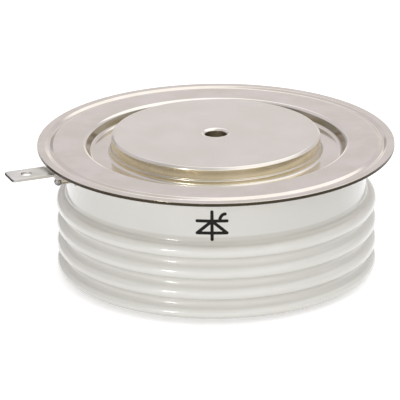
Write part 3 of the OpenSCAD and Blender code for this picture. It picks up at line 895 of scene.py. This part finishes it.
def run_nodes(piece, group, values):
    """Adds a Geometry Nodes modifier with its named inputs set, and applies it."""
    change = piece.modifiers.new(group.name, "NODES")
    change.node_group = group
    for item in group.interface.items_tree:
        if item.item_type == "SOCKET" and item.in_out == "INPUT" and item.name in values:
            change[item.identifier] = values[item.name]
    apply_modifiers(piece)


def gate_axis(height):
    """Turns a shape built along Z so that it runs along -X at this height."""
    return Matrix.Translation((0, 0, height)) @ Matrix.Rotation(-math.pi / 2, 4, "Y")


class THYRISTOR_OT_ceramic(Operator):
    """Glazed ceramic tube with its plain band, ribs and base bead"""
    bl_idname = "thyristor.ceramic"
    bl_label = "Ceramic housing"

    def execute(self, context):
        given = settings().ceramic
        shape = Shape()
        fillet = given.valley_round
        outline = arc(shape.rib_arc_r, shape.first_crest_z, shape.rib_round,
                      0, shape.band_angle)[:-1]
        outline += arc(shape.band_r + fillet, shape.band_end_z, fillet,
                       math.pi + shape.band_angle, math.pi)
        outline += rounded([
            (shape.band_r, shape.band_end_z + HOLD),
            (shape.band_r, shape.tube_top, given.top_round),
            (shape.bore_r, shape.tube_top, given.bore_round),
            (shape.bore_r, shape.tube_foot, given.bore_round),
            (shape.base_arc_r - HOLD, shape.tube_foot)])[0]
        outline += arc(shape.base_arc_r, shape.base_z, given.base_round,
                       -math.pi / 2, shape.base_angle)[:-1]
        outline += arc(shape.valley_arc_r, shape.last_valley_z, fillet,
                       math.pi + shape.base_angle, math.pi - shape.flank)[:-1]
        outline += arc(shape.rib_arc_r, shape.last_crest_z, shape.rib_round,
                       -shape.flank, 0)
        piece = lathe("ceramic_tube", outline, closed=False)
        material = glazed_ceramic()
        run_nodes(piece, build_rib_tree(), {
            "Crest Radius": shape.crest_r, "Valley Depth": given.valley_depth,
            "Valley Radius": fillet, "Pitch": given.pitch,
            "First Valley": shape.first_crest_z - given.pitch / 2,
            "Valleys": given.ribs - 1, "Turns": TURNS, "Steps": STRIP_STEPS,
            "Material": material})
        low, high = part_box("gate_tube")
        hole_r = (high.z - low.z) / 2 + settings().flange.joint
        near, far = shape.bore_r - SPARE, shape.band_r + SPARE
        combine(piece, lathe(
            "cutter", [(0, near), (hole_r, near), (hole_r, far), (0, far)],
            turns=SMALL_TURNS, place=gate_axis((high.z + low.z) / 2)), "DIFFERENCE")
        place_piece(piece, "glazed_ceramic", material, "ceramic_housing")
        return {"FINISHED"}


def contact_face(z, way, edge_soft, dark=0):
    """Corners of a contact from the bottom of its hole out to the edge of its face."""
    given = settings().contact
    hole_r, face_r = given.hole_d / 2, given.face_d / 2
    corners = [(0, given.hole_depth, 0, dark),
               (hole_r, given.hole_depth, given.corner_soft, dark)]
    if dark:
        corners.append((hole_r, given.hole_chamfer + given.shade_from, 0,
                        dark * given.shade_top))
    # Rounded edges round the hole and the face get the painted highlight
    corners += [(hole_r, given.hole_chamfer, given.hole_soft, 1),
                (hole_r + given.hole_chamfer, 0, edge_soft, 1),
                (face_r - given.chamfer, 0, given.soft * 2, 1),
                (face_r, given.chamfer, given.soft, 1)]
    return [(r, z - way * drop, fillet, mark) for r, drop, fillet, mark in corners]


class THYRISTOR_OT_contacts(Operator):
    """Turned copper contacts of the cathode and the anode, nickel plated"""
    bl_idname = "thyristor.contacts"
    bl_label = "Contacts"

    def execute(self, context):
        given, finish = settings().contact, settings().finish
        shape = Shape()
        metal = plated("Nickel contact", finish.contact_face, finish.nickel_wall_reflection,
                       rough_add=0.14, line_spacing=0.16, line_depth=0.15, marks=0.5)
        soft, corner = given.hidden_soft, given.corner_soft
        stack = foot("cathode_pole")
        shoulder_z = shape.flange_z - given.step_drop
        fillet_r = shape.shoulder_r + given.fillet
        pocket_top = shape.face_z - given.hole_depth - given.pocket_roof
        corners = contact_face(shape.face_z, 1, given.hole_round, -given.hole_shade)
        corners += [
            (shape.face_r, shoulder_z, corner),
            (shape.shoulder_r, shoulder_z, given.shoulder_soft, given.shoulder_highlight),
            *arc(fillet_r, shape.recess_z + given.fillet, given.fillet,
                 math.pi, FILLET_END),
            (fillet_r, shape.recess_z), (shape.body_r, shape.recess_z),
            (shape.body_r, stack + shape.body_r - given.stack_r, given.cone_soft),
            (given.stack_r, stack, soft), (given.pocket_r, stack, soft),
            (given.pocket_r, pocket_top), (0, pocket_top)]
        cathode = lathe("cathode_contact", *rounded(corners[::-1]))
        combine(cathode, block(
            (-shape.shoulder_r - SPARE, -given.slot_w / 2, stack - SPARE),
            (-given.pocket_r + given.slot_in, given.slot_w / 2, stack + given.slot_w)),
            "DIFFERENCE")
        place_piece(cathode, "nickel_contact", metal, "cathode_pole")

        base, ledge_r, pole_top = shape.tube_foot, reach("anode_pole"), top("anode_pole")
        ledge_z = base + given.ledge_h
        corners = contact_face(0, -1, given.hole_edge)
        corners += [
            (shape.face_r, base), (ledge_r, base, corner), (ledge_r, ledge_z, soft),
            (shape.body_r, ledge_z + ledge_r - shape.body_r, soft),
            (shape.body_r, pole_top, soft), (0, pole_top)]
        anode = lathe("anode_contact", *rounded(corners))
        place_piece(anode, "nickel_contact", metal, "anode_pole")
        return {"FINISHED"}


def groove(shape, z):
    """Corners of the weld groove on a face at height z, from the inside outwards."""
    given = settings().flange
    outer = shape.flange_r - given.groove_inset
    inner = outer - given.groove_w
    return [(inner, z, given.groove_soft),
            ((inner + outer) / 2, z - given.groove_depth, given.groove_round),
            (outer, z, given.groove_soft)]


def formed_ring(name, shape, inner, soft, sheet, step, rim, lit=0):
    """A sheet ring with a formed step and the weld groove.

    The step is its start and end radius, its low and high level, the radii of its lower
    and upper bend and its slope. The rim is the corners of the cut edge. Lit is the
    painted highlight on the upper bend, on the upper side only.
    """
    start, end, low, high, lower, upper, slope = step
    half_tan = math.tan(slope / 2)

    def side(drop, mark):
        """Corners of the side that lies this far below the upper one."""
        return [(inner, low - drop, soft),
                (start + (lower + drop) * half_tan, low - drop, lower + drop),
                (end - (upper - drop) * half_tan, high - drop, upper - drop, mark),
                *groove(shape, high - drop)]

    corners = side(0, lit) + rim + side(sheet, 0)[::-1]
    return lathe(name, *rounded(corners[::-1]))


class THYRISTOR_OT_flanges(Operator):
    """Thin cathode flange, its weld ring, and the anode flange"""
    bl_idname = "thyristor.flanges"
    bl_label = "Flanges"

    def execute(self, context):
        given = settings().flange
        shape = Shape()
        metal = nickel_sheet()
        rim_r, rim, weld = shape.flange_r, given.rim_soft, given.weld_soft
        bends = given.foot_bend, given.lip_bend, given.slope
        foot_r = shape.shoulder_r + given.floor_w
        lip_r = foot_r + step_run(given.depth, *bends)[1]
        # The round edge of the rim stays plated, and below it painted shade lies over the
        # cut metal
        flange = formed_ring(
            "cathode_cap", shape, shape.body_r + given.joint, 0, given.sheet,
            (foot_r, lip_r, shape.recess_z, shape.flange_z, *bends),
            [(rim_r, shape.flange_z, rim), (rim_r, shape.flange_z - rim * 0.7, 0, -1),
             (rim_r, shape.weld_z, weld, -1)], lit=given.lip_highlight)
        place_piece(flange, "nickel_sheet", metal, "cathode_flange")

        ring = given.ring_sheet
        low = shape.tube_top + ring
        bends = 2 * ring, 2 * ring, given.ring_slope
        collar_r = shape.band_r - given.ring_inset
        start_r = collar_r - step_run(shape.weld_z - low, *bends)[1]
        weld_ring = formed_ring(
            "weld_ring", shape, shape.bore_r + settings().ceramic.fit, given.inner_soft,
            ring, (start_r, collar_r, low, shape.weld_z, *bends),
            # Painted shade on the cut rim of the weld ring
            [(rim_r, shape.weld_z, weld, -1), (rim_r, shape.weld_z - ring, rim, -1)])
        place_piece(weld_ring, "nickel_sheet", metal, "cathode_weld_ring")

        relief, soft = given.relief, given.relief_soft
        under = foot("anode_flange")
        over = under + given.anode_sheet
        bead_in, bead_out = reach("anode_pole") + relief, shape.bore_r - relief
        inner, outer = shape.face_r + given.joint, reach("anode_flange")
        # The cut outer rim gets painted shade
        line = [(inner, 0, given.inner_soft), (bead_in, 0, soft),
                (bead_in + relief, relief, soft), (bead_out - relief, relief, soft),
                (bead_out, 0, soft), (outer, 0, rim, -1)]
        corners = [(r, under + z, *rest) for r, z, *rest in line]
        corners += [(r, over + z, *rest) for r, z, *rest in line[:0:-1]] + [(inner, over)]
        anode = lathe("anode_sheet", *rounded(corners))
        place_piece(anode, "nickel_sheet", metal, "anode_flange")
        return {"FINISHED"}


class THYRISTOR_OT_gate_tube(Operator):
    """Gate tube with its braze collar and the solder ball that closes it"""
    bl_idname = "thyristor.gate_tube"
    bl_label = "Gate tube"

    def execute(self, context):
        given = settings().gate
        low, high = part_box("gate_tube")
        radius, inner, outer = (high.z - low.z) / 2, -high.x, -low.x
        bore, soft = radius - given.tube_wall, given.tube_soft
        turned = {"turns": SMALL_TURNS, "place": gate_axis((high.z + low.z) / 2)}
        # The outer end of the tube gets the painted edge highlight
        tube = lathe("gate_pipe", *rounded(
            [(bore, inner, soft), (radius, inner, soft), (radius, outer, soft, 1),
             (bore, outer, soft)]), **turned)
        place_piece(tube, "nickel_sheet", nickel_sheet(), "gate_tube")

        solder = marked("Solder", settings().finish.solder, (0.20, 0.19, 0.18),
                        cloud_size=0.7, speck_size=0.12, rough=0.2, metallic=1.0,
                        depth=0.02 * MM)
        end, ball_r = -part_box("gate_tube_seal")[0].x, given.ball_d / 2
        ball = arc(0, end - ball_r, ball_r, -math.acos(radius / ball_r), math.pi / 2)
        ball = lathe("gate_bead", [(0, ball[0][1]), *ball[:-1], (0, end)], **turned)
        place_piece(ball, "solder", solder, "gate_tube_seal")

        # Braze that climbs from the glaze on to the tube
        collar_r, start = given.collar_d / 2, Shape().band_r
        turns = [math.pi / 2 * i / BRAZE_STEPS for i in range(BRAZE_STEPS + 1)]
        root = start - given.collar_sunk
        outline = [(radius, root), (collar_r, root)]
        outline += [(radius + (collar_r - radius) * (1 - math.sin(a)),
                     start + given.collar_h * (1 - math.cos(a))) for a in turns]
        place_piece(lathe("gate_braze", outline, **turned), "solder", solder)
        return {"FINISHED"}


class THYRISTOR_OT_gate_tab(Operator):
    """Stamped gate tab with its hole, bent neck and soldered foot"""
    bl_idname = "thyristor.gate_tab"
    bl_label = "Gate tab"

    def execute(self, context):
        given, finish = settings().gate, settings().finish
        low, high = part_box("gate_tab")
        sheet, half, foot_half = given.sheet, high.y, given.foot_w / 2
        inner, tip, slope = -high.x, -low.x, given.slope
        wall, run = step_run(high.z - low.z - sheet, given.foot_bend, given.lip_bend, slope)
        first_r, second_r = given.foot_bend + sheet / 2, given.lip_bend - sheet / 2
        # Length and curvature of each part of the strip, from the foot to the tip
        parts = ((tip - given.flat_len - run - inner, 0), (first_r * slope, 1 / first_r),
                 (wall, 0), (second_r * slope, -1 / second_r), (given.flat_len, 0))
        stops = list(accumulate(span for span, _ in parts))

        def bent(s):
            """Middle of the sheet at distance s along the strip, and its lean."""
            x, z, lean = inner, low.z + sheet / 2, 0.0
            for span, curve in parts:
                step = min(s, span)
                after = lean + curve * step
                if curve:
                    x += (math.sin(after) - math.sin(lean)) / curve
                    z += (math.cos(lean) - math.cos(after)) / curve
                else:
                    x += step * math.cos(lean)
                    z += step * math.sin(lean)
                s, lean = s - step, after
            return x, z, lean

        shoulder, end, cut = stops[3] + given.full_from, stops[4], given.corner
        neck = shoulder - foot_half
        outline = [(0, -foot_half), (neck, -foot_half), (shoulder, -half),
                   (end - cut, -half), (end, cut - half)]
        outline += [(x, -y) for x, y in outline[::-1]]
        hole_x, hole_r = end - given.hole_inset, given.hole_d / 2
        ring = [(hole_x + hole_r * math.cos(a), hole_r * math.sin(a))
                for a in [2 * math.pi * i / HOLE_STEPS for i in range(HOLE_STEPS)]]
        bm = prism([outline, ring], sheet)
        bevel_edges(bm, given.bevel)
        slice_at(bm, stops[0], stops[1], BEND_STEPS)
        slice_at(bm, stops[2], stops[3], BEND_STEPS)
        sheared = bm.verts.layers.float.new("cut")
        for vert in bm.verts:
            s, y, h = vert.co
            # Only the face of the tip, past the middle of its bevel, gets painted shade
            # over its bare metal
            vert[sheared] = given.tip_shade if s > end - given.bevel * 0.6 else 0
            x, z, lean = bent(s)
            vert.co = (-(x - h * math.sin(lean)), -y, z + h * math.cos(lean))
        bmesh.ops.recalc_face_normals(bm, faces=bm.faces)
        metal = plated("Nickel strip", finish.tab_face, finish.tab_wall_shade,
                       rough_add=0.34, line_spacing=0.5, line_depth=0.1, marks=2.5)
        place_piece(new_piece("gate_blade", bm), "nickel_sheet", metal, "gate_tab")
        return {"FINISHED"}


def stroke(path, width):
    """Outline of a drawn line with round ends."""
    path = [Vector(p) for p in path]
    half, left, right = width / 2, [], []
    for i, point in enumerate(path):
        along = path[min(i + 1, len(path) - 1)] - path[max(i - 1, 0)]
        side = Vector((-along.y, along.x)).normalized() * half
        left.append(point + side)
        right.append(point - side)

    def cap(centre, side):
        return [centre + Matrix.Rotation(-math.pi * k / CAP_STEPS, 2) @ side
                for k in range(1, CAP_STEPS)]

    loop = left + cap(path[-1], left[-1] - path[-1])
    loop += right[::-1] + cap(path[0], right[0] - path[0])
    return [tuple(p) for p in loop]


class THYRISTOR_OT_symbol(Operator):
    """Thyristor symbol printed on the plain band"""
    bl_idname = "thyristor.symbol"
    bl_label = "Symbol"

    def execute(self, context):
        given, ink = settings().symbol, settings().finish.ink
        width, bar, base = given.half_w, given.bar_z, -given.base_z
        hook = [(width * (given.hook_at + given.hook_w * (1 - math.cos(a))),
                 bar + given.hook_h * math.sin(a))
                for a in [math.pi / 2 * i / HOOK_STEPS for i in range(HOOK_STEPS + 1)]]
        lines = [
            [(0, -given.line_h), (0, given.line_h)], [(-width, bar), (width, bar)],
            [(-width, base), (width, base)], [(-width, base), (0, bar)],
            [(width, base), (0, bar)], hook]
        sign, *others = (
            new_piece("stroke", prism([stroke(path, given.stroke)], 2 * given.ink))
            for path in lines)
        for other in others:
            combine(sign, other, "UNION")
        bm = bmesh.new()
        bm.from_mesh(sign.data)
        discard(sign)
        # Slices past both ends of the bar, so that the ink can follow the band
        slice_at(bm, -1.2 * width, 1.2 * width, SYMBOL_STEPS)
        band_r = Shape().band_r
        for vert in bm.verts:
            x, y, h = vert.co
            turn = given.turn + x / band_r
            vert.co = ((band_r + h) * math.cos(turn), (band_r + h) * math.sin(turn),
                       given.centre_z + y)
        bmesh.ops.recalc_face_normals(bm, faces=bm.faces)
        material = marked("Printed ink", ink, tuple(c * 2 for c in ink),
                          cloud_size=0.6, speck_size=0.15, rough=0.5, sheen=0.12)
        place_piece(new_piece("thyristor_symbol", bm), "glazed_ceramic", material)
        return {"FINISHED"}


class THYRISTOR_OT_sealed(Operator):
    """Finishes of the pieces sealed inside the housing"""
    bl_idname = "thyristor.sealed"
    bl_label = "Sealed pieces"

    def execute(self, context):
        molybdenum = marked("Molybdenum", (0.22, 0.22, 0.235), (0.28, 0.28, 0.29),
                            cloud_size=3.0, speck_size=0.3, rough=0.38, metallic=1.0,
                            lines=0.15)
        silver = marked("Silver", (0.82, 0.81, 0.78), (0.74, 0.72, 0.67),
                        cloud_size=2.0, speck_size=0.2, rough=0.25, metallic=1.0)
        silicon = marked("Polished silicon", (0.055, 0.06, 0.075), (0.07, 0.075, 0.09),
                         cloud_size=8.0, speck_size=0.2, rough=0.12, coat=0.5)
        rubber = marked("Silicone rubber", (0.45, 0.33, 0.16), (0.50, 0.38, 0.20),
                        cloud_size=2.0, speck_size=0.3, rough=0.4, coat=0.3)
        plastic = marked("White plastic", (0.86, 0.86, 0.83), (0.80, 0.80, 0.77),
                         cloud_size=3.0, speck_size=0.3, rough=0.5, lines=0.2)
        steel = marked("Spring steel", (0.42, 0.42, 0.43), (0.34, 0.34, 0.34),
                       cloud_size=0.5, speck_size=0.1, rough=0.28, metallic=1.0)
        finishes = {
            "anode_disc": molybdenum, "cathode_disc": molybdenum, "gate_pin": molybdenum,
            "cathode_foil": silver, "gate_lead": silver, "silicon_wafer": silicon,
            "wafer_seal": rubber, "gate_spring": steel, "centring_ring": plastic,
            "gate_lead_sleeve": plastic, "gate_insulator": plastic}
        for node, material in finishes.items():
            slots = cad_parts[node].material_slots
            if not slots:
                raise RuntimeError(f"{node} has no material slot to finish")
            for slot in slots:
                slot.material = material
        return {"FINISHED"}


# ---------------------------------------------------------------- stage

# Light of the room at each height in degrees: straight behind the part, behind it on
# both sides, and in front of it
SKY_BEHIND = (
    (0, (0.90, 0.87, 0.83)), (3, (1.15, 1.13, 1.10)), (6, (1.30, 1.28, 1.26)),
    (11, (1.25, 1.23, 1.22)), (14, (0.98, 0.95, 0.96)), (17, (0.85, 0.82, 0.84)),
    (20, (0.79, 0.76, 0.79)), (26, (0.74, 0.71, 0.75)), (90, (0.78, 0.77, 0.78)))
SKY_ASIDE = (
    (0, (0.78, 0.75, 0.70)), (11, (0.86, 0.83, 0.82)), (20, (0.79, 0.76, 0.79)),
    (26, (0.74, 0.71, 0.75)), (90, (0.78, 0.77, 0.78)))
SKY_FRONT = (
    (0, (1.0, 0.99, 0.96)), (10, (1.5, 1.48, 1.44)), (19, (1.5, 1.48, 1.44)),
    (27, (0.75,) * 3), (42, (0.70,) * 3), (54, (0.76,) * 3), (90, (0.78,) * 3))
SOFT_BOX = (1.35, 1.35, 1.37)


def room_light(given):
    """World: bright behind and above, softer in front, white where the camera sees it."""
    world = bpy.data.worlds.new("Studio")
    world.use_nodes = True
    bpy.context.scene.world = world
    world.node_tree.nodes.clear()
    tree = Tree(world.node_tree)
    x, y, z = tree.split(tree.place("Generated"))
    height = tree.math("ARCSINE", z) / (math.pi / 2)
    back = Vector((-math.sin(given.turn), math.cos(given.turn)))
    ahead, aside = x * back.x + y * back.y, x * back.y + y * -back.x
    spread = abs(aside)

    def sky(levels):
        """Colour of the room by height."""
        node = tree.add("ShaderNodeValToRGB", {"Fac": height})
        points = node.color_ramp.elements
        for k, (degrees, level) in enumerate(levels):
            point = points[k] if k < 2 else points.new(1.0)
            point.position = degrees / 90
            point.color = (*level, 1)
        node.color_ramp.interpolation = "EASE"
        return Wire(tree, node.outputs[0])

    def dimmed(light, share):
        """A colour times a number."""
        return tree.blend(1.0, light, tree.join(share, share, share), "MULTIPLY")

    behind = tree.blend(tree.ramp(spread, 0.12, 0.22), sky(SKY_BEHIND), sky(SKY_ASIDE))
    left = tree.ramp(aside, -0.12, -0.22) * tree.ramp(z, 0.3, 0.24)
    behind = dimmed(behind, 1.0 - left * 0.42)
    # In front: brighter towards both sides, dark at their ends and dimmer on the left
    sides = tree.ramp(spread, 0.1, 0.5, 1.0, 1.35)
    sides *= tree.ramp(spread, 0.68, 0.92, 1.0, 0.35)
    front = dimmed(sky(SKY_FRONT), sides * tree.ramp(aside, -0.15, -0.7, 1.0, 0.45))
    light = tree.blend(tree.ramp(ahead, -0.35, 0.25), front, behind)
    # A soft box high up, behind the part and to its right
    box = tree.ramp(aside + ahead * 0.35, -0.12, 0.14) * tree.ramp(z, 0.5, 0.62)
    room = tree.out("ShaderNodeBackground", {
        "Color": tree.blend(box, light, SOFT_BOX), "Strength": given.light})
    white = tree.out("ShaderNodeBackground", {"Color": (1, 1, 1), "Strength": 1.0})
    seen = tree.out("ShaderNodeLightPath", output="Is Camera Ray")
    tree.add("ShaderNodeOutputWorld", {
        "Surface": tree.out("ShaderNodeMixShader", {0: seen, 1: room, 2: white})})


def floor_material(given):
    """Pale floor that keeps the shadow and reaches white where the camera sees it."""
    material, tree, shader = new_material("Pale floor")
    grain = tree.noise(tree.place(), 60.0, 3.0)
    near = tuple(c * 0.985 for c in given.floor)
    rays = tree.wires(tree.add("ShaderNodeLightPath"))
    seen = tree.math("MAXIMUM", rays["Is Camera Ray"], rays["Is Glossy Ray"])
    lift = seen * given.floor_lift
    tree.fill(shader, {
        "Base Color": tree.blend(grain, given.floor, near), "Roughness": 0.9,
        "Specular IOR Level": 0.0, "Emission Strength": 1.0,
        "Emission Color": tree.join(lift, lift, lift)})
    return material


def stand(name, data, centre, turn, rise, far, aim, roll=0.0):
    """Stands a camera or lamp round a centre and points it at the aim."""
    out = Vector((math.sin(turn) * math.cos(rise), -math.cos(turn) * math.cos(rise),
                  math.sin(rise)))
    place = Vector(centre) + out * far
    look = (Vector(aim) - place).to_track_quat("-Z", "Y").to_matrix().to_4x4()
    holder = bpy.data.objects.new(name, data)
    holder.matrix_world = (Matrix.Translation(place) @ look
                           @ Matrix.Rotation(-roll, 4, "Z"))
    bpy.context.scene.collection.objects.link(holder)
    return holder


class THYRISTOR_OT_stage(Operator):
    """Pale floor, soft light and the camera"""
    bl_idname = "thyristor.stage"
    bl_label = "Stage"

    def execute(self, context):
        given = settings().stage
        bm = bmesh.new()
        bmesh.ops.create_circle(bm, cap_ends=True, radius=given.floor_r, segments=96)
        floor = new_piece("floor", bm)
        floor.data.materials.append(floor_material(given))
        room_light(given)

        lamp = bpy.data.lights.new("small_lamp", "AREA")
        lamp.shape, lamp.energy = "RECTANGLE", given.lamp
        lamp.size, lamp.size_y = given.lamp_w, given.lamp_h
        middle = (0, 0, top("cathode_pole") / 2)
        stand("small_lamp", lamp, middle, given.turn + given.lamp_turn, given.lamp_rise,
              given.lamp_far, middle)

        camera = bpy.data.cameras.new("camera")
        camera.sensor_width, camera.lens = 36, given.lens
        camera.clip_start, camera.clip_end = 0.01, 20
        context.scene.camera = stand(
            "camera", camera, (0, 0, top("cathode_flange")), given.turn, given.rise,
            given.far, given.aim, given.roll)
        context.scene.view_settings.view_transform = "Standard"
        return {"FINISHED"}


# ---------------------------------------------------------------- add-on

STEPS = (
    THYRISTOR_OT_ceramic, THYRISTOR_OT_contacts, THYRISTOR_OT_flanges,
    THYRISTOR_OT_gate_tube, THYRISTOR_OT_gate_tab, THYRISTOR_OT_symbol,
    THYRISTOR_OT_sealed, THYRISTOR_OT_stage,
)


class THYRISTOR_PT_panel(Panel):
    """Lists the steps and the settings"""
    bl_idname = "THYRISTOR_PT_panel"
    bl_label = "Disc thyristor"
    bl_space_type = "VIEW_3D"
    bl_region_type = "UI"
    bl_category = "Thyristor"

    def draw(self, context):
        column = self.layout.column()
        for step in STEPS:
            column.operator(step.bl_idname)
        for name in GROUPS:
            column.separator()
            group = getattr(context.scene.disc_thyristor, name)
            for key in group.bl_rna.properties.keys():
                if key not in {"rna_type", "name"}:
                    column.prop(group, key)


CLASSES = (*GROUPS.values(), ThyristorSettings, *STEPS, THYRISTOR_PT_panel)


def register():
    """Registers the classes and the settings."""
    for item in CLASSES:
        bpy.utils.register_class(item)
    bpy.types.Scene.disc_thyristor = PointerProperty(type=ThyristorSettings)


def unregister():
    """Removes the settings and the classes."""
    del bpy.types.Scene.disc_thyristor
    for item in reversed(CLASSES):
        bpy.utils.unregister_class(item)


def main():
    """Builds every piece and the stage."""
    register()
    for step in STEPS:
        group, name = step.bl_idname.split(".")
        getattr(getattr(bpy.ops, group), name)()


if __name__ == "__main__":
    main()
